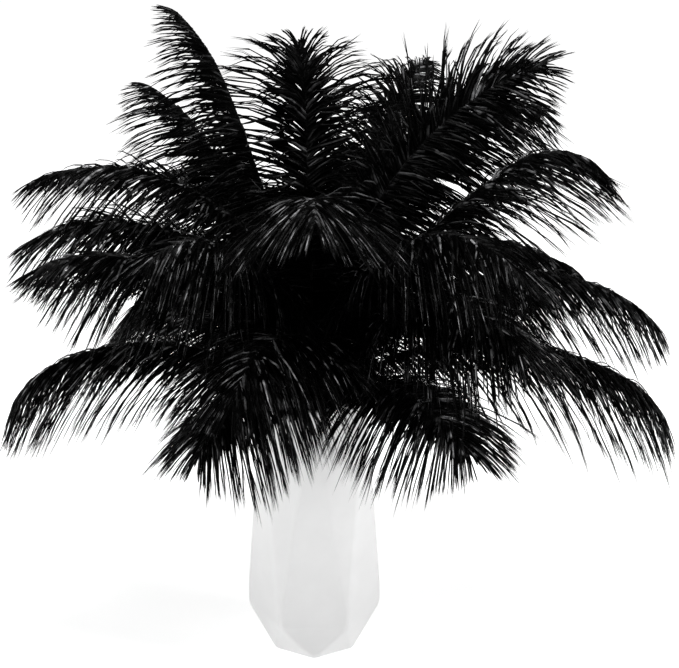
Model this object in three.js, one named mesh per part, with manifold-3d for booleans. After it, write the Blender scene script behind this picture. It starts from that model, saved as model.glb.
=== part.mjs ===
// A bouquet of black ostrich plumes standing in a faceted white ceramic vase.
// Millimetres, +Z up, the origin at the centre of the vase's base and the front towards -Y.
// Each plume is one solid: a quill that stands in the vase, and a thin curved blade that reaches
// the tips of its barbs. Angles are in degrees; a heading of 0 is +X and 90 is +Y.

import * as THREE from 'three';
import { mergeVertices } from 'three/addons/utils/BufferGeometryUtils.js';
import Module from 'manifold-3d';

const manifold = await Module();
manifold.setup();

// ---- Vase: three hexagonal rings, each turned half a side from the one below ----

const VASE_SIDES = 6;
const BASE_RADIUS = 36;
const BELLY_RADIUS = 54;
const BELLY_HEIGHT = 34;
const MOUTH_RADIUS = 47;
const VASE_HEIGHT = 220;
const WALL = 4.5;
const FLOOR = 6;

// ---- Plumes: quills stand on three rings in the vase, and cross it like a twisted bunch ----

const FOOT_HEIGHT = 8;
const RIM_HEIGHT = 214;
const FOOT_QUILL_RADIUS = 1.1;
const RIM_QUILL_RADIUS = 1.3;
const TIP_SHAFT_RADIUS = 0.3;
const BLADE_HALF_THICKNESS = 0.5;
const CLEARANCE = 0.35;
const FINEST_EDGE = 0.06;

const STEPS = 50;
const STEPS_PER_STATION = 5;
const QUILL_STATIONS = 1;
const TURN_SHARE = 0.3;
const HOOK_START = 0.7;

const BLADE_START = 0.12;
const BLADE_FULL = 0.5;
const BLADE_CLOSING = 0.7;
const BLADE_SPREAD = 1.1;
const BLADE_SAG = 0.8;
const OPEN_LIFT = 0.6;
const FOLDED_SAG = 0.5;
const FOLDED_NARROWING = 0.3;

// Each ring of quills: radius at the rim, radius at the feet, twist between them, and the
// direction of the first quill. Each plume: heading, tilt of its tip from upright, how late it
// bends (1 is even), length above the rim and half the width of its blade. Some have a hook, the
// extra tilt gained in the last part of the shaft, a roll about the shaft that turns the face, or
// a spread: above 0 the blade lies open, and below 0 it is folded under its shaft.
const RINGS = [
  {
    name: 'low_plume', rimRadius: 31, footRadius: 24, twist: 125, first: 25,
    plumes: [
      { heading: 4, tipTilt: 131, bend: 0.41, length: 308, half: 48, hook: 26 },
      { heading: 32, tipTilt: 130, bend: 0.7, length: 240, half: 42 },
      { heading: 60, tipTilt: 145, bend: 0.7, length: 290, half: 50 },
      { heading: 90, tipTilt: 140, bend: 0.7, length: 290, half: 50 },
      { heading: 120, tipTilt: 145, bend: 0.7, length: 290, half: 50 },
      { heading: 132, tipTilt: 135, bend: 0.7, length: 215, half: 48 },
      { heading: 172, tipTilt: 137, bend: 0.54, length: 263, half: 45, hook: 20 },
      { heading: 205, tipTilt: 95, bend: 1, length: 284, half: 46, hook: 17, spread: 0.2 },
      { heading: 233, tipTilt: 128, bend: 0.6, length: 165, half: 36, hook: 22, spread: 0.5 },
      { heading: 268, tipTilt: 70, bend: 0.8, length: 105, half: 28, spread: 0.5 },
      { heading: 304, tipTilt: 120, bend: 0.5, length: 185, half: 38, spread: 0.8 },
      { heading: 315, tipTilt: 140, bend: 1.3, length: 240, half: 48, spread: 0.2 },
    ],
  },
  {
    name: 'middle_plume', rimRadius: 21, footRadius: 16, twist: 120, first: 19,
    plumes: [
      { heading: 11, tipTilt: 141, bend: 0.75, length: 340, half: 42, hook: 7 },
      { heading: 12, tipTilt: 155, bend: 1.2, length: 290, half: 45, hook: -26 },
      { heading: 70, tipTilt: 115, bend: 1.1, length: 300, half: 50 },
      { heading: 110, tipTilt: 115, bend: 1.1, length: 300, half: 50 },
      { heading: 192, tipTilt: 124, bend: 1.37, length: 296, half: 45, spread: 0.6 },
      { heading: 226, tipTilt: 110, bend: 1.66, length: 265, half: 45, hook: 20, spread: 0.2 },
      { heading: 243, tipTilt: 150, bend: 1.2, length: 210, half: 46, spread: 0.4 },
      { heading: 315, tipTilt: 142, bend: 1.7, length: 310, half: 48 },
    ],
  },
  {
    name: 'high_plume', rimRadius: 7.5, footRadius: 4.2, twist: 30, first: -50,
    plumes: [
      { heading: 3, tipTilt: 59, bend: 0.39, length: 339, half: 51, hook: 72, spread: -0.2 },
      { heading: 6, tipTilt: 72, bend: 1.16, length: 353, half: 45, hook: 8, roll: 70 },
      { heading: 28, tipTilt: 98, bend: 1.17, length: 350, half: 45, hook: 23, roll: 45 },
      { heading: 62, tipTilt: 48, bend: 0.36, length: 324, half: 41, hook: 44, roll: 30 },
      { heading: 100, tipTilt: 12, bend: 1.4, length: 298, half: 55, hook: 50 },
      { heading: 142, tipTilt: 54, bend: 0.56, length: 308, half: 40, hook: 28, spread: -0.5 },
      { heading: 166, tipTilt: 26, bend: 0.66, length: 344, half: 37, hook: 26, spread: -0.9 },
      { heading: 182, tipTilt: 124, bend: 1.34, length: 348, half: 38, spread: 0.4 },
      { heading: 272, tipTilt: 120, bend: 1.8, length: 310, half: 45, spread: 0.3 },
    ],
  },
];

const CERAMIC = { color: '#f1efec', roughness: 0.3, metalness: 0 };
const FEATHER = { color: '#0b0b0c', roughness: 0.6, metalness: 0 };

const radians = THREE.MathUtils.degToRad;

// ---- Closed meshes and solids ----

// A closed skin over rings of points that run the same way round, with a fan at each end. From the
// corner numbered turnOver on, its cells are halved the other way, so that the upper and the lower
// face of a thin twisted blade run parallel and never pass through each other.
function skin(rings, turnOver = Infinity) {
  const count = rings[0].length;
  const index = [];
  for (let r = 0; r + 1 < rings.length; r++) {
    for (let k = 0; k < count; k++) {
      const a = r * count + k;
      const b = r * count + (k + 1) % count;
      if (k < turnOver) index.push(a, b, a + count, b, b + count, a + count);
      else index.push(a, b, b + count, a, b + count, a + count);
    }
  }
  const last = (rings.length - 1) * count;
  for (let k = 1; k + 1 < count; k++) {
    index.push(0, k + 1, k);
    index.push(last, last + k, last + k + 1);
  }
  const geometry = new THREE.BufferGeometry().setFromPoints(rings.flat());
  geometry.setIndex(index);
  return geometry;
}

function toSolid(geometry) {
  const merged = mergeVertices(geometry);
  return new manifold.Manifold(new manifold.Mesh({
    numProp: 3,
    vertProperties: new Float32Array(merged.attributes.position.array),
    triVerts: new Uint32Array(merged.index.array),
  }));
}

function toGeometry(solid) {
  const mesh = solid.getMesh();
  const geometry = new THREE.BufferGeometry();
  geometry.setAttribute('position', new THREE.BufferAttribute(mesh.vertProperties, 3));
  geometry.setIndex(new THREE.BufferAttribute(mesh.triVerts, 1));
  geometry.computeVertexNormals();
  return geometry;
}

function namedMesh(name, geometry, finish) {
  const mesh = new THREE.Mesh(geometry, new THREE.MeshStandardMaterial({ ...finish, flatShading: true }));
  mesh.name = name;
  return mesh;
}

// ---- Vase ----

// One hexagon; an even ring has a corner to the front and an odd one has a side there.
function hexagon(radius, height, halfTurns) {
  const points = [];
  for (let k = 0; k < VASE_SIDES; k++) {
    const angle = radians(-90 + (k + halfTurns / 2) * 360 / VASE_SIDES);
    points.push(new THREE.Vector3(radius * Math.cos(angle), radius * Math.sin(angle), height));
  }
  return points;
}

// Two rings of long triangles between three hexagons.
function facetedBody(radii, heights) {
  const rings = radii.map((radius, turn) => hexagon(radius, heights[turn], turn));
  return toSolid(skin(rings));
}

function vaseSolid() {
  const cornerWall = WALL / Math.cos(Math.PI / VASE_SIDES);
  const outside = facetedBody(
    [BASE_RADIUS, BELLY_RADIUS, MOUTH_RADIUS],
    [0, BELLY_HEIGHT, VASE_HEIGHT],
  );
  const wallAtFloor = BASE_RADIUS + (BELLY_RADIUS - BASE_RADIUS) * FLOOR / BELLY_HEIGHT;
  const hollow = facetedBody(
    [wallAtFloor - cornerWall - WALL / 2, BELLY_RADIUS - cornerWall, MOUTH_RADIUS - cornerWall],
    [FLOOR, BELLY_HEIGHT, VASE_HEIGHT + 1],
  );
  return outside.subtract(hollow);
}

// ---- Plumes ----

// The line that a plume's shaft follows: a straight quill from its foot to the rim, then a curve
// that turns to its own heading and leans over more and more towards the tip. Each station has
// its place, its direction, the blade's sideways direction and the direction of its underside.
function shaftStations(ring, plume, slot) {
  const rimAngle = radians(slot);
  const footAngle = radians(slot + ring.twist);
  const rim = new THREE.Vector3(Math.cos(rimAngle), Math.sin(rimAngle), 0)
    .multiplyScalar(ring.rimRadius).setZ(RIM_HEIGHT);
  const foot = new THREE.Vector3(Math.cos(footAngle), Math.sin(footAngle), 0)
    .multiplyScalar(ring.footRadius).setZ(FOOT_HEIGHT);
  const quill = rim.clone().sub(foot).normalize();
  const startTilt = Math.acos(quill.z);
  const startHeading = Math.atan2(quill.y, quill.x);
  const turn = radians(THREE.MathUtils.euclideanModulo(
    plume.heading - THREE.MathUtils.radToDeg(startHeading) + 180, 360) - 180);

  const frameAt = (share) => {
    const tilt = startTilt + (radians(plume.tipTilt) - startTilt) * share ** plume.bend
      + radians(plume.hook ?? 0) * THREE.MathUtils.smoothstep(share, HOOK_START, 1);
    const heading = startHeading + turn * THREE.MathUtils.smoothstep(share, 0, TURN_SHARE);
    const along = new THREE.Vector3(
      Math.sin(tilt) * Math.cos(heading), Math.sin(tilt) * Math.sin(heading), Math.cos(tilt));
    const side = new THREE.Vector3(-Math.sin(heading), Math.cos(heading), 0)
      .applyAxisAngle(along, radians(plume.roll ?? 0));
    return { along, side, under: side.clone().cross(along) };
  };

  const stations = [];
  for (let k = 0; k < QUILL_STATIONS; k++) {
    stations.push({ place: foot.clone().lerp(rim, k / QUILL_STATIONS), share: -1, ...frameAt(0) });
  }
  const place = rim.clone();
  for (let step = 0; step <= STEPS; step++) {
    if (step % STEPS_PER_STATION === 0) {
      stations.push({ place: place.clone(), share: step / STEPS, ...frameAt(step / STEPS) });
    }
    place.addScaledVector(frameAt((step + 0.5) / STEPS).along, plume.length / STEPS);
  }
  return stations;
}

function shaftRadius(station, k) {
  return station.share < 0
    ? THREE.MathUtils.lerp(FOOT_QUILL_RADIUS, RIM_QUILL_RADIUS, k / QUILL_STATIONS)
    : THREE.MathUtils.lerp(RIM_QUILL_RADIUS, TIP_SHAFT_RADIUS, station.share);
}

// How wide the blade is along the plume, as a share of its widest.
function bladeShare(share) {
  const opening = Math.sin(THREE.MathUtils.clamp((share - BLADE_START) / (BLADE_FULL - BLADE_START), 0, 1)
    * Math.PI / 2);
  const closing = Math.max(0, (share - BLADE_CLOSING) / (1 - BLADE_CLOSING));
  return opening * Math.sqrt(Math.max(0, 1 - closing ** 2));
}

// Corners of a section, as shares of its width and thickness: the plume's own, and a squarer one
// for the room that it needs round it.
const DIAGONAL = Math.SQRT1_2;
const OWN_SECTION = [
  [1, 0], [DIAGONAL, DIAGONAL], [0, 1], [-DIAGONAL, DIAGONAL],
  [-1, 0], [-DIAGONAL, -DIAGONAL], [0, -1], [DIAGONAL, -DIAGONAL],
];
const ROOM_SECTION = [
  [1, 1], [DIAGONAL, 1], [0, 1], [-DIAGONAL, 1], [-1, 1],
  [-1, -1], [-DIAGONAL, -1], [0, -1], [DIAGONAL, -1], [1, -1],
];
const SLANT_ALLOWANCE = 1.6;

// A round quill up to where the blade starts, and from there a thin blade whose edges sag.
function section(station, k, plume, corners, room) {
  const shaft = shaftRadius(station, k);
  const width = plume.half * bladeShare(station.share);
  const isBlade = width > shaft;
  const open = Math.max(plume.spread ?? 0, 0);
  const folded = Math.max(-(plume.spread ?? 0), 0);
  const reach = isBlade ? Math.max(shaft, width * BLADE_SPREAD * (1 - FOLDED_NARROWING * folded)) : shaft;
  const sag = isBlade ? width * (BLADE_SAG * (1 - OPEN_LIFT * open) + FOLDED_SAG * folded) : 0;
  const edgeSlope = sag / reach / (2 * (1 - DIAGONAL));
  const thickness = isBlade ? Math.min(shaft, BLADE_HALF_THICKNESS) + room * SLANT_ALLOWANCE : shaft + room;
  return corners.map(([across, through]) => {
    const beyond = Math.abs(across) === 1 ? room : 0;
    return station.place.clone()
      .addScaledVector(station.side, across * (reach + beyond))
      .addScaledVector(station.under, sag * across ** 2 + edgeSlope * beyond - through * thickness);
  });
}

function loft(stations, plume, corners, room) {
  const rings = stations.map((station, k) => section(station, k, plume, corners, room));
  return toSolid(skin(rings, corners.length / 2));
}

function largestPiece(solid) {
  return solid.decompose().reduce((best, piece) => (piece.volume() > best.volume() ? piece : best));
}

function plumesInRings() {
  const plumes = [];
  for (const ring of RINGS) {
    ring.plumes.forEach((plume, k) => {
      const slot = ring.first + k * 360 / ring.plumes.length;
      const stations = shaftStations(ring, plume, slot);
      const shaftOnly = { ...plume, half: 0 };
      plumes.push({
        name: `${ring.name}_${String(k + 1).padStart(2, '0')}`,
        solid: loft(stations, plume, OWN_SECTION, 0),
        roomy: loft(stations, plume, ROOM_SECTION, CLEARANCE),
        shaft: loft(stations, shaftOnly, OWN_SECTION, 0),
        roomyShaft: loft(stations, shaftOnly, OWN_SECTION, CLEARANCE),
      });
    });
  }
  return plumes;
}

// Where plumes cross, each blade is slit round the other plumes' shafts, and the later blade is
// slit round the earlier one. No cut goes through a plume's own shaft, so each stays in one piece.
// Splinters finer than FINEST_EDGE, which two cuts leave where they just miss, are then smoothed.
function clearOfEachOther(plumes) {
  const solids = plumes.map((plume) => {
    let solid = plume.solid;
    for (const other of plumes) {
      if (other !== plume) solid = solid.subtract(other.roomyShaft);
    }
    return solid;
  });
  return solids.map((whole, k) => {
    let solid = whole;
    for (let earlier = 0; earlier < k; earlier++) {
      solid = solid.subtract(plumes[earlier].roomy.subtract(plumes[k].shaft));
    }
    return largestPiece(solid.simplify(FINEST_EDGE));
  });
}

const bouquet = new THREE.Group();
bouquet.add(namedMesh('vase', toGeometry(vaseSolid()), CERAMIC));
const plumes = plumesInRings();
clearOfEachOther(plumes).forEach((solid, k) => {
  bouquet.add(namedMesh(plumes[k].name, toGeometry(solid), FEATHER));
});

export default bouquet;
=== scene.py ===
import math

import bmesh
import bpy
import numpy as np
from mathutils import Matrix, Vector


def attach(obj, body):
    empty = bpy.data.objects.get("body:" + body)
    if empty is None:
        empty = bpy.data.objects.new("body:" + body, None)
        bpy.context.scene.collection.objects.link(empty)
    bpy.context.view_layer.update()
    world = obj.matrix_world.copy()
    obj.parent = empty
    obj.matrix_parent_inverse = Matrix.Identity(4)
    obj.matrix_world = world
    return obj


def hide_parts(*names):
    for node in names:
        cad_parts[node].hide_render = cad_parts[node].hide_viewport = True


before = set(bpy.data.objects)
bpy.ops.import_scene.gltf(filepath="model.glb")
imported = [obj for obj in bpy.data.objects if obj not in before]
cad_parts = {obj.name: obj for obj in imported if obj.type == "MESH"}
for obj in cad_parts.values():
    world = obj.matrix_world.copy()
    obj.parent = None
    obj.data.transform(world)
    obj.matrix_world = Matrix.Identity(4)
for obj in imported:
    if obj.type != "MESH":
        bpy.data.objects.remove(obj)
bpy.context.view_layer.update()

# A bouquet of black ostrich plumes standing in a faceted white ceramic vase.
#
# Metres, +Z up, the origin at the centre of the vase's base and the front towards -Y. Each plume
# is one mesh: a shaft whose quill stands in the vase, with long barbs and shorter down on its two
# sides. Angles are in degrees unless a comment says radians; a heading of 0 is +X and 90 is +Y.
# A share runs from 0 to 1 along a shaft, a vane or a strand. A scatter is the standard deviation
# of a random value.

# ---- Vase: three hexagonal rings, each turned half a side from the one below ----

VASE_SIDES = 6
BASE_RADIUS = 0.036
BELLY_RADIUS = 0.054
BELLY_HEIGHT = 0.034
MOUTH_RADIUS = 0.047
VASE_HEIGHT = 0.220
WALL = 0.0045
FLOOR_THICKNESS = 0.006
EDGE_ROUNDING = 0.0022
EDGE_STEPS = 5

# ---- Plumes: where the quills stand, and the curve of each shaft ----

FOOT_HEIGHT = 0.008
RIM_HEIGHT = 0.214
FOOT_QUILL_RADIUS = 0.0011
RIM_QUILL_RADIUS = 0.0013
TIP_SHAFT_RADIUS = 0.0003
SHAFT_SIDES = 8
SHAFT_STATIONS = 28

# Above the rim a shaft is summed up from equal steps. It has turned to its own heading by
# TURN_SHARE of its length, and the hook at its end begins at HOOK_START.
SHAFT_STEPS = 50
TURN_SHARE = 0.3
HOOK_START = 0.7

# Each ring of quills: radius at the rim, radius at the feet, twist between them, and the
# direction of the first quill. Each plume: heading, tilt of its tip from upright, how late it
# bends (1 is even), length above the rim, half the width of its blade, the extra tilt gained in
# the last part of the shaft, its roll about its own shaft, and how far it is spread open (up to
# 1) or folded under its shaft (down to -1).
RINGS = (
    ("low_plume", 0.031, 0.024, 125, 25, (
        (4, 131, 0.41, 0.308, 0.048, 26, 0, 0.0),
        (32, 130, 0.70, 0.240, 0.042, 0, 0, 0.0),
        (60, 145, 0.70, 0.290, 0.050, 0, 0, 0.0),
        (90, 140, 0.70, 0.290, 0.050, 0, 0, 0.0),
        (120, 145, 0.70, 0.290, 0.050, 0, 0, 0.0),
        (132, 135, 0.70, 0.215, 0.048, 0, 0, 0.0),
        (172, 137, 0.54, 0.263, 0.045, 20, 0, 0.0),
        (205, 95, 1.00, 0.284, 0.046, 17, 0, 0.2),
        (233, 128, 0.60, 0.165, 0.036, 22, 0, 0.5),
        (268, 70, 0.80, 0.105, 0.028, 0, 0, 0.5),
        (304, 120, 0.50, 0.185, 0.038, 0, 0, 0.8),
        (315, 140, 1.30, 0.240, 0.048, 0, 0, 0.2),
    )),
    ("middle_plume", 0.021, 0.016, 120, 19, (
        (11, 141, 0.75, 0.340, 0.042, 7, 0, 0.0),
        (12, 155, 1.20, 0.290, 0.045, -26, 0, 0.0),
        (70, 115, 1.10, 0.300, 0.050, 0, 0, 0.0),
        (110, 115, 1.10, 0.300, 0.050, 0, 0, 0.0),
        (192, 124, 1.37, 0.296, 0.045, 0, 0, 0.6),
        (226, 110, 1.66, 0.265, 0.045, 20, 0, 0.2),
        (243, 150, 1.20, 0.210, 0.046, 0, 0, 0.4),
        (315, 142, 1.70, 0.310, 0.048, 0, 0, 0.0),
    )),
    ("high_plume", 0.0075, 0.0042, 30, -50, (
        (3, 59, 0.39, 0.339, 0.051, 72, 0, -0.2),
        (6, 72, 1.16, 0.353, 0.045, 8, 70, 0.0),
        (28, 98, 1.17, 0.350, 0.045, 23, 45, 0.0),
        (62, 48, 0.36, 0.324, 0.041, 44, 30, 0.0),
        (100, 12, 1.40, 0.298, 0.055, 50, 0, 0.0),
        (142, 54, 0.56, 0.308, 0.040, 28, 0, -0.5),
        (166, 26, 0.66, 0.344, 0.037, 26, 0, -0.9),
        (182, 124, 1.34, 0.348, 0.038, 0, 0, 0.4),
        (272, 120, 1.80, 0.310, 0.045, 0, 0, 0.3),
    )),
)

# Each plume draws its random values from a seed of its own, counted up from this one.
FIRST_SEED = 1

# ---- Barbs: the long soft strands on both sides of a shaft ----

BARBS_A_SIDE = 560
ROOT_SCATTER = 0.001

# The vane begins at these shares of the shafts. The shaft itself ends TIP_BRUSH early, with the
# last barbs as a brush beyond it, and the barbs grow closer towards it (1 is even).
VANE_STARTS = {"low_plume": 0.03, "middle_plume": 0.05, "high_plume": 0.15}
TIP_BRUSH = 0.07
TIP_CROWDING = 1.2

# Along the vane, from its first barb to its last: the barbs' length as a share of half the
# blade's width, the angle at which they leave a level shaft, and how freely they droop.
VANE_SHARES = (0.0, 0.10, 0.30, 0.55, 0.75, 0.90, 1.0)
BARB_LENGTHS = (0.60, 1.15, 2.00, 2.32, 2.04, 1.22, 0.55)
BARB_ANGLES = (70, 62, 52, 45, 39, 30, 16)
BARB_DROOP = (1.0, 1.0, 1.0, 1.0, 0.9, 0.7, 0.4)

# A shaft is upright up to the first of these tilts, in radians, and level from the second on.
# Barbs on an upright shaft are shorter, stand off it further, and bend over more; on a level
# shaft the two sides fall away from the shaft like a roof. All of them also bend a little
# towards the underside of their shaft.
UPRIGHT_TILT, LEVEL_TILT = 0.5, 1.35
UPRIGHT_SHORTNESS = 0.8
UPRIGHT_OPENING = 6
UPRIGHT_DROOP = 1.1
LEVEL_DROOP = 0.8
LEVEL_FALL = 0.55
UNDERWARD_BEND = 0.25

# A plume that is spread open has longer barbs that stand off further, and a folded one's barbs
# hang under its shaft. From OPENING_END to the tip the barbs close up again.
SPREAD_OPENING = 22
SPREAD_LENGTHENING = 0.1
FOLDED_FALL = 1.2
OPENING_END = 0.7

# Unevenness, as the scatter from clump to clump and then from barb to barb: length as a share,
# angle, lift off the side's fall, and droop.
LENGTH_SCATTER = (0.08, 0.09)
ANGLE_SCATTER = (3.5, 2.5)
LIFT_SCATTER = (0.08, 0.06)
DROOP_SCATTER = (0.12, 0.08)

# A strand sways to and fro along its shaft, by SWAY_WAVE radians of a wave.
SWAY_SCATTER = 0.15
SWAY_WAVE = 5

# A few barbs at a time cling together in a clump: they come together over the first of these
# shares and part a little over the second. A pull of 1 brings them onto one line.
CLUMP_SMALLEST, CLUMP_LARGEST = 2, 6
GATHERING = (0.05, 0.5)
PARTING = (0.6, 1)
CLUMP_PARTING = 0.15
CLUMP_PULL = 0.95
PULL_SCATTER = (0.03, 0.06)
WEAKEST_PULL, STRONGEST_PULL = 0.1, 0.99

# ---- Down: loose, broader strands near the shaft. Lengths are shares of the barbs' own ----

DOWN_A_SIDE = 175
DOWN_LENGTHS = (0.30, 0.70)
DOWN_BREADTH = 1.8
DOWN_LIFT = 0.45
DOWN_LIFT_SCATTER = 0.2
DOWN_ANGLE_SCATTER = 8
DOWN_DROOP_SCATTER = 0.2
DOWN_SWAY_SCATTER = 0.3

# ---- Strands: three-sided tapers, with rings at some steps of their path and a pointed end ----

# From strand to strand the widths at the rings vary between NARROWEST and BROADEST of the ones
# given. The ridge along a strand is STRAND_DEPTH of its width high, and a random twist, in
# radians, grows towards its tip.
STRAND_STEPS = 12
STRAND_RINGS = (0, 3, 6, 9)
STRAND_WIDTHS = (0.00100, 0.00100, 0.00088, 0.00066)
STRAND_SIDES = 3
STRAND_DEPTH = 0.4
NARROWEST, BROADEST = 0.75, 1.25
TWIST_SCATTER = 0.6

# Added to a strand's sideways direction, so that one that points straight up has a side too.
SIDESTEP = 1e-6

# Painted glints: pale painted highlights put into the feathers' colour on a few strands, the
# higher the rarity the fewer. An upright shaft's barbs and the shafts themselves get fainter
# painted glints.
PAINTED_GLINT_RARITY = 11
UPRIGHT_PAINTED_GLINT = 0.15
SHAFT_PAINTED_GLINT = 0.03

# ---- Finishes: the darker and the paler shade of each, and the gloss of its surface ----

GLAZE_SHADES = ((0.86, 0.86, 0.86), (0.90, 0.90, 0.90))
GLAZE_SPECULAR = 0.45
# The dye's darker shade, and the paler shade of its painted glints (painted highlights, not dye).
DYE_AND_PAINTED_GLINT_SHADES = ((0.0006, 0.0006, 0.0006), (0.45, 0.45, 0.46))
DYE_SPECULAR = 0.035

# Noise between these values is stretched over the whole of a cloudy pattern.
NOISE_LOW, NOISE_HIGH = 0.3, 0.7

# ---- Studio ----

CAMERA_PLACE = (0.0204, -1.6, 0.89)
CAMERA_PITCH = 68.7
CAMERA_LENS = 117.65
SENSOR_WIDTH = 36

FLOOR_REACH = 6.0
FLOOR_COLOUR = (0.9, 0.9, 0.9, 1)
FLOOR_ROUGHNESS = 0.6
FLOOR_SPECULAR = 0.2

# The floor's glow and the sky, both white, are dimmer for the object than for the eye.
WHITE = (1, 1, 1, 1)
FLOOR_GLOW, FLOOR_GLOW_SEEN = 0.3, 0.7
SKY_LIGHT, SKY_SEEN = 0.2, 1.0

# Each lamp: its place, the point that it faces, its breadth, and its power in watts.
LAMPS = {
    "overhead": ((0.2, -0.3, 2.2), (0, 0, 0.20), 1.0, 36),
    "right": ((2.0, -0.5, 0.9), (0, 0, 0.25), 0.6, 20),
    "left": ((-2.0, -0.9, 0.8), (0, 0, 0.20), 0.8, 19),
}


# ---- Small helpers ----

def unit(vectors):
    least_length = 1e-12
    lengths = np.linalg.norm(vectors, axis=-1, keepdims=True)
    return vectors / np.maximum(lengths, least_length)


def smoothstep(value, low, high):
    t = np.clip((value - low) / (high - low), 0, 1)
    return t * t * (3 - 2 * t)


def on_ring(radius, angle, height):
    """A point on a level ring round the vase's axis, at an angle in degrees."""
    turned = math.radians(angle)
    return np.array((radius * math.cos(turned), radius * math.sin(turned), height))


def show(thing):
    bpy.context.scene.collection.objects.link(thing)
    return thing


def add_piece(name, mesh, node, material):
    piece = show(bpy.data.objects.new(name, mesh))
    mesh.materials.append(material)
    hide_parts(node)
    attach(piece, "root")
    return piece


# ---- Node groups and materials ----

def new_group(name, inputs, outputs):
    """An empty shader group with float inputs that have defaults, and float outputs."""
    group = bpy.data.node_groups.new(name, "ShaderNodeTree")
    for label, default in inputs:
        socket = group.interface.new_socket(label, in_out="INPUT", socket_type="NodeSocketFloat")
        socket.default_value = default
    for label in outputs:
        group.interface.new_socket(label, in_out="OUTPUT", socket_type="NodeSocketFloat")
    return group, group.nodes.new("NodeGroupInput"), group.nodes.new("NodeGroupOutput")


def unevenness_group():
    """A soft cloudy value between Low and High, over features of about Size metres."""
    group, given, result = new_group(
        "unevenness", (("Size", 0.01), ("Detail", 2.0), ("Low", 0.0), ("High", 1.0)), ("Value",))
    nodes, link = group.nodes, group.links.new
    place = nodes.new("ShaderNodeTexCoord")
    frequency = nodes.new("ShaderNodeMath")
    frequency.operation = "DIVIDE"
    frequency.inputs[0].default_value = 1.0
    link(given.outputs["Size"], frequency.inputs[1])
    noise = nodes.new("ShaderNodeTexNoise")
    link(place.outputs["Object"], noise.inputs["Vector"])
    link(frequency.outputs[0], noise.inputs["Scale"])
    link(given.outputs["Detail"], noise.inputs["Detail"])
    stretch = nodes.new("ShaderNodeMapRange")
    stretch.inputs["From Min"].default_value = NOISE_LOW
    stretch.inputs["From Max"].default_value = NOISE_HIGH
    link(noise.outputs["Fac"], stretch.inputs["Value"])
    link(given.outputs["Low"], stretch.inputs["To Min"])
    link(given.outputs["High"], stretch.inputs["To Max"])
    link(stretch.outputs["Result"], result.inputs["Value"])
    return group


def place_group(material, group, **values):
    """The output of a group, placed in a material with its own values."""
    node = material.node_tree.nodes.new("ShaderNodeGroup")
    node.node_tree = group
    for label, value in values.items():
        node.inputs[label].default_value = value
    return node.outputs[0]


def new_material(name):
    material = bpy.data.materials.new(name)
    material.use_nodes = True
    return material, material.node_tree.nodes["Principled BSDF"]


def mixed_colour(material, factor, low, high):
    """A colour between two. The node's sockets share their names, so they go by number."""
    share, first, second, result = 0, 6, 7, 2
    mix = material.node_tree.nodes.new("ShaderNodeMix")
    mix.data_type = "RGBA"
    mix.inputs[first].default_value = (*low, 1)
    mix.inputs[second].default_value = (*high, 1)
    material.node_tree.links.new(factor, mix.inputs[share])
    return mix.outputs[result]


def bumped(material, height, distance, strength):
    bump = material.node_tree.nodes.new("ShaderNodeBump")
    bump.inputs["Distance"].default_value = distance
    bump.inputs["Strength"].default_value = strength
    material.node_tree.links.new(height, bump.inputs["Height"])
    return bump.outputs["Normal"]


def satin_ceramic(unevenness):
    """White glaze that is a little cloudy, with uneven gloss and a fine eggshell grain."""
    material, shader = new_material("satin_white_ceramic")
    link = material.node_tree.links.new
    shader.inputs["Specular IOR Level"].default_value = GLAZE_SPECULAR
    clouds = place_group(material, unevenness, Size=0.03, Detail=3.0)
    link(mixed_colour(material, clouds, *GLAZE_SHADES), shader.inputs["Base Color"])
    rubbing = place_group(material, unevenness, Size=0.012, Detail=4.0, Low=0.30, High=0.42)
    link(rubbing, shader.inputs["Roughness"])
    grain = place_group(material, unevenness, Size=0.0012, Detail=2.0)
    link(bumped(material, grain, distance=0.00004, strength=0.5), shader.inputs["Normal"])
    return material


def dyed_feather(unevenness):
    """Deep black dye with uneven dull gloss, and pale painted glints broken up into short
    stretches.
    """
    material, shader = new_material("black_dyed_feather")
    nodes, link = material.node_tree.nodes, material.node_tree.links.new
    shader.inputs["Specular IOR Level"].default_value = DYE_SPECULAR
    # The painted glints of the strands: painted highlights in the base colour.
    strand = nodes.new("ShaderNodeAttribute")
    strand.attribute_name = "painted_glint"
    # Patches that break the painted glints into short stretches along each strand.
    painted_glint_patches = place_group(material, unevenness, Size=0.009, Detail=3.0, Low=-0.9, High=1.5)
    painted_glint = nodes.new("ShaderNodeMath")
    painted_glint.operation = "MULTIPLY"
    painted_glint.use_clamp = True
    link(strand.outputs["Fac"], painted_glint.inputs[0])
    link(painted_glint_patches, painted_glint.inputs[1])
    link(mixed_colour(material, painted_glint.outputs[0], *DYE_AND_PAINTED_GLINT_SHADES), shader.inputs["Base Color"])
    gloss = place_group(material, unevenness, Size=0.004, Detail=2.0, Low=0.18, High=0.42)
    link(gloss, shader.inputs["Roughness"])
    fuzz = place_group(material, unevenness, Size=0.0006, Detail=1.0)
    link(bumped(material, fuzz, distance=0.0001, strength=0.6), shader.inputs["Normal"])
    return material


# ---- Vase ----

def hexagon(radius, height, half_turns):
    """Six corners, the first at the front or turned from it by a number of half sides."""
    front = -90
    return [Vector(on_ring(radius, front + (k + half_turns / 2) * 360 / VASE_SIDES, height))
            for k in range(VASE_SIDES)]


def faceted_wall(shape, radii, heights, outward):
    """Two bands of triangles between three hexagons, facing out or into the hollow."""
    corners = [[shape.verts.new(point) for point in hexagon(radius, height, turn)]
               for turn, (radius, height) in enumerate(zip(radii, heights))]
    for below, above in zip(corners, corners[1:]):
        for k in range(VASE_SIDES):
            after = (k + 1) % VASE_SIDES
            for face in ((below[k], below[after], above[k]),
                         (below[after], above[after], above[k])):
                shape.faces.new(face if outward else face[::-1])
    return corners


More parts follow.
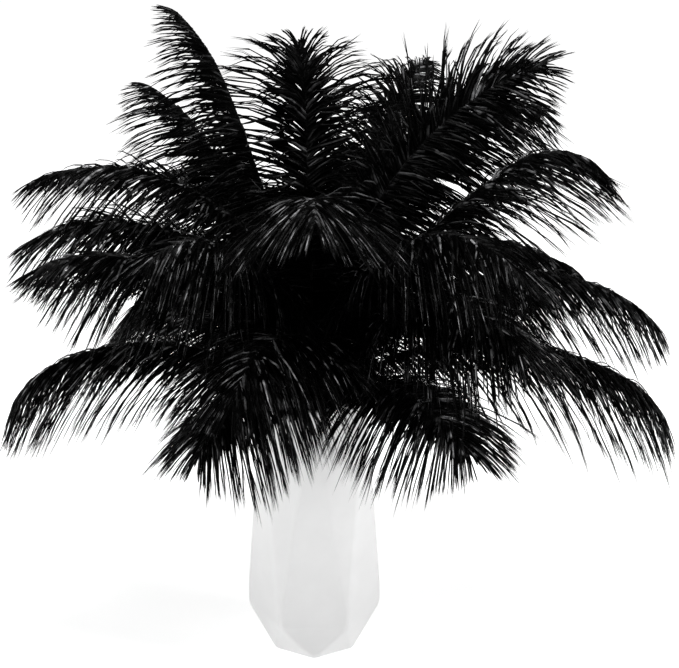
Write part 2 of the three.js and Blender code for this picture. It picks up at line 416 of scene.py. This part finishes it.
def vase(material):
    """The outer and the inner wall, the two faces of the floor, the rim, and softened edges."""
    corner_wall = WALL / math.cos(math.pi / VASE_SIDES)
    at_floor = BASE_RADIUS + (BELLY_RADIUS - BASE_RADIUS) * FLOOR_THICKNESS / BELLY_HEIGHT
    inner_radii = (at_floor - corner_wall - WALL / 2, BELLY_RADIUS - corner_wall,
                   MOUTH_RADIUS - corner_wall)
    shape = bmesh.new()
    outside = faceted_wall(shape, (BASE_RADIUS, BELLY_RADIUS, MOUTH_RADIUS),
                           (0, BELLY_HEIGHT, VASE_HEIGHT), outward=True)
    inside = faceted_wall(shape, inner_radii,
                          (FLOOR_THICKNESS, BELLY_HEIGHT, VASE_HEIGHT), outward=False)
    shape.faces.new(outside[0][::-1])
    shape.faces.new(inside[0])
    for k in range(VASE_SIDES):
        after = (k + 1) % VASE_SIDES
        shape.faces.new((outside[2][k], outside[2][after], inside[2][after], inside[2][k]))
    bmesh.ops.bevel(shape, geom=shape.edges[:], offset=EDGE_ROUNDING, segments=EDGE_STEPS,
                    profile=0.5, affect="EDGES", clamp_overlap=True)
    mesh = bpy.data.meshes.new("white_vase")
    shape.to_mesh(mesh)
    shape.free()
    mesh.shade_flat()
    return add_piece("white_vase", mesh, "vase", material)


# ---- Shafts ----

class Shaft:
    """The line of one plume's shaft: its foot, and its place and directions at any share of it."""

    def __init__(self, ring, plume, angle):
        """A plume of a ring, with its quill at an angle round the vase's rim."""
        name, rim_radius, foot_radius, twist, _, _ = ring
        self.vane_start = VANE_STARTS[name]
        (heading, self.tip_tilt, self.bend, self.length, self.half, self.hook,
         self.roll, self.spread) = plume
        self.rim = on_ring(rim_radius, angle, RIM_HEIGHT)
        self.foot = on_ring(foot_radius, angle + twist, FOOT_HEIGHT)
        quill = unit(self.rim - self.foot)
        self.start_tilt = math.acos(quill[2])
        self.start_heading = math.atan2(quill[1], quill[0])
        turn = (heading - math.degrees(self.start_heading) + 180) % 360 - 180
        self.turn = math.radians(turn)
        middles = (np.arange(SHAFT_STEPS) + 0.5) / SHAFT_STEPS
        moves = self.frame(middles)[0] * self.length / SHAFT_STEPS
        self.places = np.vstack((self.rim, self.rim + np.cumsum(moves, axis=0)))

    def frame(self, share):
        """The directions along the shaft, to its side, and under it."""
        bending = math.radians(self.tip_tilt) - self.start_tilt
        tilt = (self.start_tilt + bending * share ** self.bend
                + math.radians(self.hook) * smoothstep(share, HOOK_START, 1))
        heading = self.start_heading + self.turn * smoothstep(share, 0, TURN_SHARE)
        along = np.stack((np.sin(tilt) * np.cos(heading), np.sin(tilt) * np.sin(heading),
                          np.cos(tilt)), axis=-1)
        level = np.stack((-np.sin(heading), np.cos(heading), np.zeros_like(heading)), axis=-1)
        roll = math.radians(self.roll)
        side = level * math.cos(roll) + np.cross(along, level) * math.sin(roll)
        return along, side, np.cross(side, along)

    def place(self, share):
        shares = np.linspace(0, 1, SHAFT_STEPS + 1)
        return np.stack([np.interp(share, shares, line) for line in self.places.T], axis=-1)

    def share_at(self, vane):
        """The share of the shaft at a share of its vane."""
        return self.vane_start + (1 - TIP_BRUSH - self.vane_start) * vane


def band_faces(rings, sides):
    """Triangles between each ring of corners and the next."""
    faces = []
    for ring in range(rings - 1):
        for k in range(sides):
            a, b = ring * sides + k, ring * sides + (k + 1) % sides
            faces += [(a, b, a + sides), (b, b + sides, a + sides)]
    return faces


def tube(places, radii, sideways, upward):
    """Corners and faces of a round tapering tube with closed ends."""
    angles = np.arange(SHAFT_SIDES) * 2 * math.pi / SHAFT_SIDES
    rings = (places[:, None] + radii[:, None, None] * (
        sideways[:, None] * np.cos(angles)[None, :, None]
        + upward[:, None] * np.sin(angles)[None, :, None]))
    last = (len(places) - 1) * SHAFT_SIDES
    ends = []
    for k in range(1, SHAFT_SIDES - 1):
        ends += [(0, k + 1, k), (last, last + k, last + k + 1)]
    return rings.reshape(-1, 3), np.array(band_faces(len(places), SHAFT_SIDES) + ends)


def shaft_mesh(shaft):
    """A tube that runs straight from the foot to the rim, then along the shaft to its tip."""
    share = np.concatenate(([0.0], np.linspace(0, 1 - TIP_BRUSH, SHAFT_STATIONS)))
    places = shaft.place(share)
    places[0] = shaft.foot
    _, side, under = shaft.frame(share)
    radii = RIM_QUILL_RADIUS + (TIP_SHAFT_RADIUS - RIM_QUILL_RADIUS) * share
    radii[0] = FOOT_QUILL_RADIUS
    return tube(places, radii, side, -under)


# ---- Barbs and down ----

def along_vane(vane, values):
    return np.interp(vane, VANE_SHARES, values)


def level_share(along):
    """How level each direction lies, from 0 for upright to 1 for level or hanging."""
    return smoothstep(np.arccos(np.clip(along[:, 2], -1, 1)), UPRIGHT_TILT, LEVEL_TILT)


def vane_length(shaft, vane, along):
    """The barbs' length at a share of the vane, where the shaft runs along a direction."""
    shortness = UPRIGHT_SHORTNESS + (1 - UPRIGHT_SHORTNESS) * level_share(along)
    longer = 1 + SPREAD_LENGTHENING * max(shaft.spread, 0)
    return shaft.half * along_vane(vane, BARB_LENGTHS) * shortness * longer


def leaving(shaft, vane, along, side, under, angle, extra_lift, extra_droop):
    """The direction in which each strand leaves the shaft, and the pull that bends it down."""
    level = level_share(along)
    spread, fold = max(shaft.spread, 0), max(-shaft.spread, 0)
    opening = UPRIGHT_OPENING * (1 - level) + SPREAD_OPENING * spread
    angle = angle + np.radians(opening) * (1 - smoothstep(vane, OPENING_END, 1))
    fall = LEVEL_FALL * level * (1 - spread) + FOLDED_FALL * fold - extra_lift
    aside = unit(side + under * fall[:, None])
    start = along * np.cos(angle)[:, None] + aside * np.sin(angle)[:, None]
    weight = UPRIGHT_DROOP + (LEVEL_DROOP - UPRIGHT_DROOP) * level + extra_droop
    return start, weight[:, None] * np.array((0, 0, -1.0)) + under * UNDERWARD_BEND


def strand_paths(random, shaft, share, start, length, droop, sway):
    """The points of strands that start in a direction, then droop and sway as they go."""
    along = shaft.frame(share)[0]
    wave = random.uniform(0, 2 * math.pi, len(share))
    place = shaft.place(share)
    points = [place]
    for step in range(STRAND_STEPS):
        u = (step + 0.5) / STRAND_STEPS
        aside = (sway * np.sin(wave + SWAY_WAVE * u) * u)[:, None] * along
        place = place + unit(start + droop * u + aside) * (length / STRAND_STEPS)[:, None]
        points.append(place)
    return np.stack(points, axis=1)


def clump_sizes(random, count):
    """Random numbers of barbs in a clump that come to a count in all."""
    sizes = random.integers(CLUMP_SMALLEST, CLUMP_LARGEST + 1, count)
    kept = np.searchsorted(np.cumsum(sizes), count)
    sizes = sizes[:kept + 1]
    sizes[-1] -= sizes.sum() - count
    return sizes


def gathered(points, sizes, clump, pull):
    """Barbs drawn towards the middle line of their clump, and parting again at their tips."""
    starts = np.concatenate(([0], np.cumsum(sizes)[:-1]))
    middle = (np.add.reduceat(points, starts, axis=0) / sizes[:, None, None])[clump]
    u = np.linspace(0, 1, STRAND_STEPS + 1)
    closeness = smoothstep(u, *GATHERING) * (1 - CLUMP_PARTING * smoothstep(u, *PARTING))
    return points + (middle - points) * (closeness[None, :] * pull[:, None])[:, :, None]


def barb_paths(random, shaft, sign):
    """Barbs on one side of the shaft, drawn together in small pointed clumps."""
    count = BARBS_A_SIDE
    sizes = clump_sizes(random, count)
    clump = np.repeat(np.arange(len(sizes)), sizes)

    def vary(by_clump, by_barb):
        return random.normal(0, by_clump, len(sizes))[clump] + random.normal(0, by_barb, count)

    vane = 1 - (1 - np.linspace(0, 1, count)) ** TIP_CROWDING
    share = np.clip(shaft.share_at(vane) + random.normal(0, ROOT_SCATTER, count), 0, 1)
    along, side, under = shaft.frame(share)
    length = vane_length(shaft, vane, along) * (1 + vary(*LENGTH_SCATTER))
    angle = along_vane(vane, BARB_ANGLES) + vary(*ANGLE_SCATTER)
    start, droop = leaving(shaft, vane, along, side * sign, under, np.radians(angle),
                           vary(*LIFT_SCATTER), vary(*DROOP_SCATTER))
    droop *= along_vane(vane, BARB_DROOP)[:, None]
    sway = random.normal(0, SWAY_SCATTER, count)
    points = strand_paths(random, shaft, share, start, length, droop, sway)
    pull = np.clip(CLUMP_PULL + vary(*PULL_SCATTER), WEAKEST_PULL, STRONGEST_PULL)
    return gathered(points, sizes, clump, pull), share


def down_paths(random, shaft, sign):
    """Short loose strands that fill the vane near the shaft."""
    count = DOWN_A_SIDE
    vane = np.sort(random.uniform(0, 1, count))
    share = shaft.share_at(vane)
    along, side, under = shaft.frame(share)
    length = vane_length(shaft, vane, along) * random.uniform(*DOWN_LENGTHS, count)
    angle = along_vane(vane, BARB_ANGLES) + random.normal(0, DOWN_ANGLE_SCATTER, count)
    lift = random.normal(DOWN_LIFT, DOWN_LIFT_SCATTER, count)
    extra_droop = random.normal(0, DOWN_DROOP_SCATTER, count)
    start, droop = leaving(shaft, vane, along, side * sign, under, np.radians(angle),
                           lift, extra_droop)
    sway = random.normal(0, DOWN_SWAY_SCATTER, count)
    return strand_paths(random, shaft, share, start, length, droop, sway), share


# ---- Strand and plume meshes ----

def strand_faces():
    """Triangles of one strand, closed at its root and pointed at its tip."""
    root = [(0, 2, 1)]
    last, tip = STRAND_SIDES * (len(STRAND_RINGS) - 1), STRAND_SIDES * len(STRAND_RINGS)
    point = [(last + k, last + (k + 1) % STRAND_SIDES, tip) for k in range(STRAND_SIDES)]
    return np.array(root + band_faces(len(STRAND_RINGS), STRAND_SIDES) + point)


def strand_corners(random, paths, under, breadth):
    """Flat-bottomed three-sided rings along the paths, that twist towards the pointed tips."""
    count, rings = len(paths), list(STRAND_RINGS)
    points = paths[:, rings]
    ahead = unit(np.gradient(paths, axis=1))[:, rings]
    across = unit(np.cross(ahead, -under[:, None, :]) + SIDESTEP)
    top = np.cross(across, ahead)
    twist = random.normal(0, TWIST_SCATTER, count)[:, None, None]
    twist = twist * np.linspace(0, 1, len(rings))[None, :, None]
    flat = across * np.cos(twist) + top * np.sin(twist)
    high = top * np.cos(twist) - across * np.sin(twist)
    widths = (np.array(STRAND_WIDTHS) * breadth)[None, :]
    width = (widths * random.uniform(NARROWEST, BROADEST, count)[:, None])[..., None]
    corners = np.stack((points - flat * width / 2, points + flat * width / 2,
                        points + high * width * STRAND_DEPTH), axis=2).reshape(count, -1, 3)
    return np.concatenate((corners, paths[:, -1:]), axis=1)


def strand_mesh(random, shaft, paths, share, breadth):
    """Corners and faces of strands along the paths, with painted glints, one for each strand."""
    count = len(paths)
    along, _, under = shaft.frame(share)
    corners = strand_corners(random, paths, under, breadth)
    faces = strand_faces()[None] + (np.arange(count) * corners.shape[1])[:, None, None]
    # Painted glints: bright on few strands, and fainter where the shaft stands upright.
    painted_glint = random.uniform(0, 1, count) ** PAINTED_GLINT_RARITY
    painted_glint *= UPRIGHT_PAINTED_GLINT + (1 - UPRIGHT_PAINTED_GLINT) * level_share(along)
    return corners.reshape(-1, 3), faces.reshape(-1, 3), np.repeat(painted_glint, corners.shape[1])


def joined(parts):
    """Several sets of corners, faces and painted glints as one."""
    starts = np.cumsum([0] + [len(corners) for corners, _, _ in parts[:-1]])
    return (np.concatenate([corners for corners, _, _ in parts]),
            np.concatenate([faces + start for (_, faces, _), start in zip(parts, starts)]),
            np.concatenate([painted_glint for _, _, painted_glint in parts]))


def triangle_mesh(name, corners, faces, painted_glint):
    mesh = bpy.data.meshes.new(name)
    mesh.vertices.add(len(corners))
    mesh.vertices.foreach_set("co", corners.astype(np.float32).ravel())
    mesh.loops.add(faces.size)
    mesh.loops.foreach_set("vertex_index", faces.astype(np.int32).ravel())
    mesh.polygons.add(len(faces))
    mesh.polygons.foreach_set("loop_start", np.arange(0, faces.size, 3, dtype=np.int32))
    mesh.update(calc_edges=True)
    # Painted glints on each corner, read into the feather material's colour.
    attribute = mesh.attributes.new("painted_glint", "FLOAT", "POINT")
    attribute.data.foreach_set("value", painted_glint.astype(np.float32))
    mesh.shade_flat()
    return mesh


def plume(name, shaft, seed, material):
    """One plume: its shaft, then the barbs and the down of each side."""
    random = np.random.default_rng(seed)
    corners, faces = shaft_mesh(shaft)
    # The shaft itself gets faint painted glints.
    parts = [(corners, faces, np.full(len(corners), SHAFT_PAINTED_GLINT))]
    for sign in (1, -1):
        parts.append(strand_mesh(random, shaft, *barb_paths(random, shaft, sign), 1))
        parts.append(strand_mesh(random, shaft, *down_paths(random, shaft, sign), DOWN_BREADTH))
    mesh = triangle_mesh(name, *joined(parts))
    return add_piece(name + "_feather", mesh, name, material)


def bouquet(material):
    seed = FIRST_SEED
    for ring in RINGS:
        ring_name, _, _, _, first, plumes = ring
        for k, shape in enumerate(plumes):
            shaft = Shaft(ring, shape, first + k * 360 / len(plumes))
            plume(f"{ring_name}_{k + 1:02d}", shaft, seed, material)
            seed += 1


# ---- Studio ----

def link_to_eye(tree, cast, seen, socket):
    """Gives a socket one value for the light that is cast, and another for what the eye sees."""
    path = tree.nodes.new("ShaderNodeLightPath")
    strength = tree.nodes.new("ShaderNodeMapRange")
    strength.inputs["To Min"].default_value = cast
    strength.inputs["To Max"].default_value = seen
    tree.links.new(path.outputs["Is Camera Ray"], strength.inputs["Value"])
    tree.links.new(strength.outputs["Result"], socket)


def studio_floor():
    mesh = bpy.data.meshes.new("studio_floor")
    reach = FLOOR_REACH
    mesh.from_pydata([(-reach, -reach, 0), (reach, -reach, 0), (reach, reach, 0),
                      (-reach, reach, 0)], [], [(0, 1, 2, 3)])
    floor = show(bpy.data.objects.new("studio_floor", mesh))
    material, shader = new_material("pale_floor")
    shader.inputs["Base Color"].default_value = FLOOR_COLOUR
    shader.inputs["Roughness"].default_value = FLOOR_ROUGHNESS
    shader.inputs["Specular IOR Level"].default_value = FLOOR_SPECULAR
    shader.inputs["Emission Color"].default_value = WHITE
    link_to_eye(material.node_tree, FLOOR_GLOW, FLOOR_GLOW_SEEN, shader.inputs["Emission Strength"])
    mesh.materials.append(material)


def area_light(name, place, target, breadth, power):
    light = bpy.data.lights.new(name, "AREA")
    light.shape = "DISK"
    light.size = breadth
    light.energy = power
    lamp = show(bpy.data.objects.new(name, light))
    lamp.location = place
    lamp.rotation_euler = (Vector(target) - Vector(place)).to_track_quat("-Z", "Y").to_euler()


def studio_light():
    """White all round for the eye, a dimmer sky for the object, and three soft lamps."""
    world = bpy.data.worlds.new("studio")
    world.use_nodes = True
    background = world.node_tree.nodes["Background"]
    background.inputs["Color"].default_value = WHITE
    link_to_eye(world.node_tree, SKY_LIGHT, SKY_SEEN, background.inputs["Strength"])
    bpy.context.scene.world = world
    for name, settings in LAMPS.items():
        area_light(name, *settings)
    bpy.context.scene.view_settings.view_transform = "Standard"


def camera():
    data = bpy.data.cameras.new("camera")
    data.lens = CAMERA_LENS
    data.sensor_width = SENSOR_WIDTH
    data.sensor_fit = "HORIZONTAL"
    eye = show(bpy.data.objects.new("camera", data))
    eye.location = CAMERA_PLACE
    eye.rotation_euler = (math.radians(CAMERA_PITCH), 0, 0)
    bpy.context.scene.camera = eye


camera()
studio_floor()
studio_light()
soft_tone = unevenness_group()
vase(satin_ceramic(soft_tone))
bouquet(dyed_feather(soft_tone))
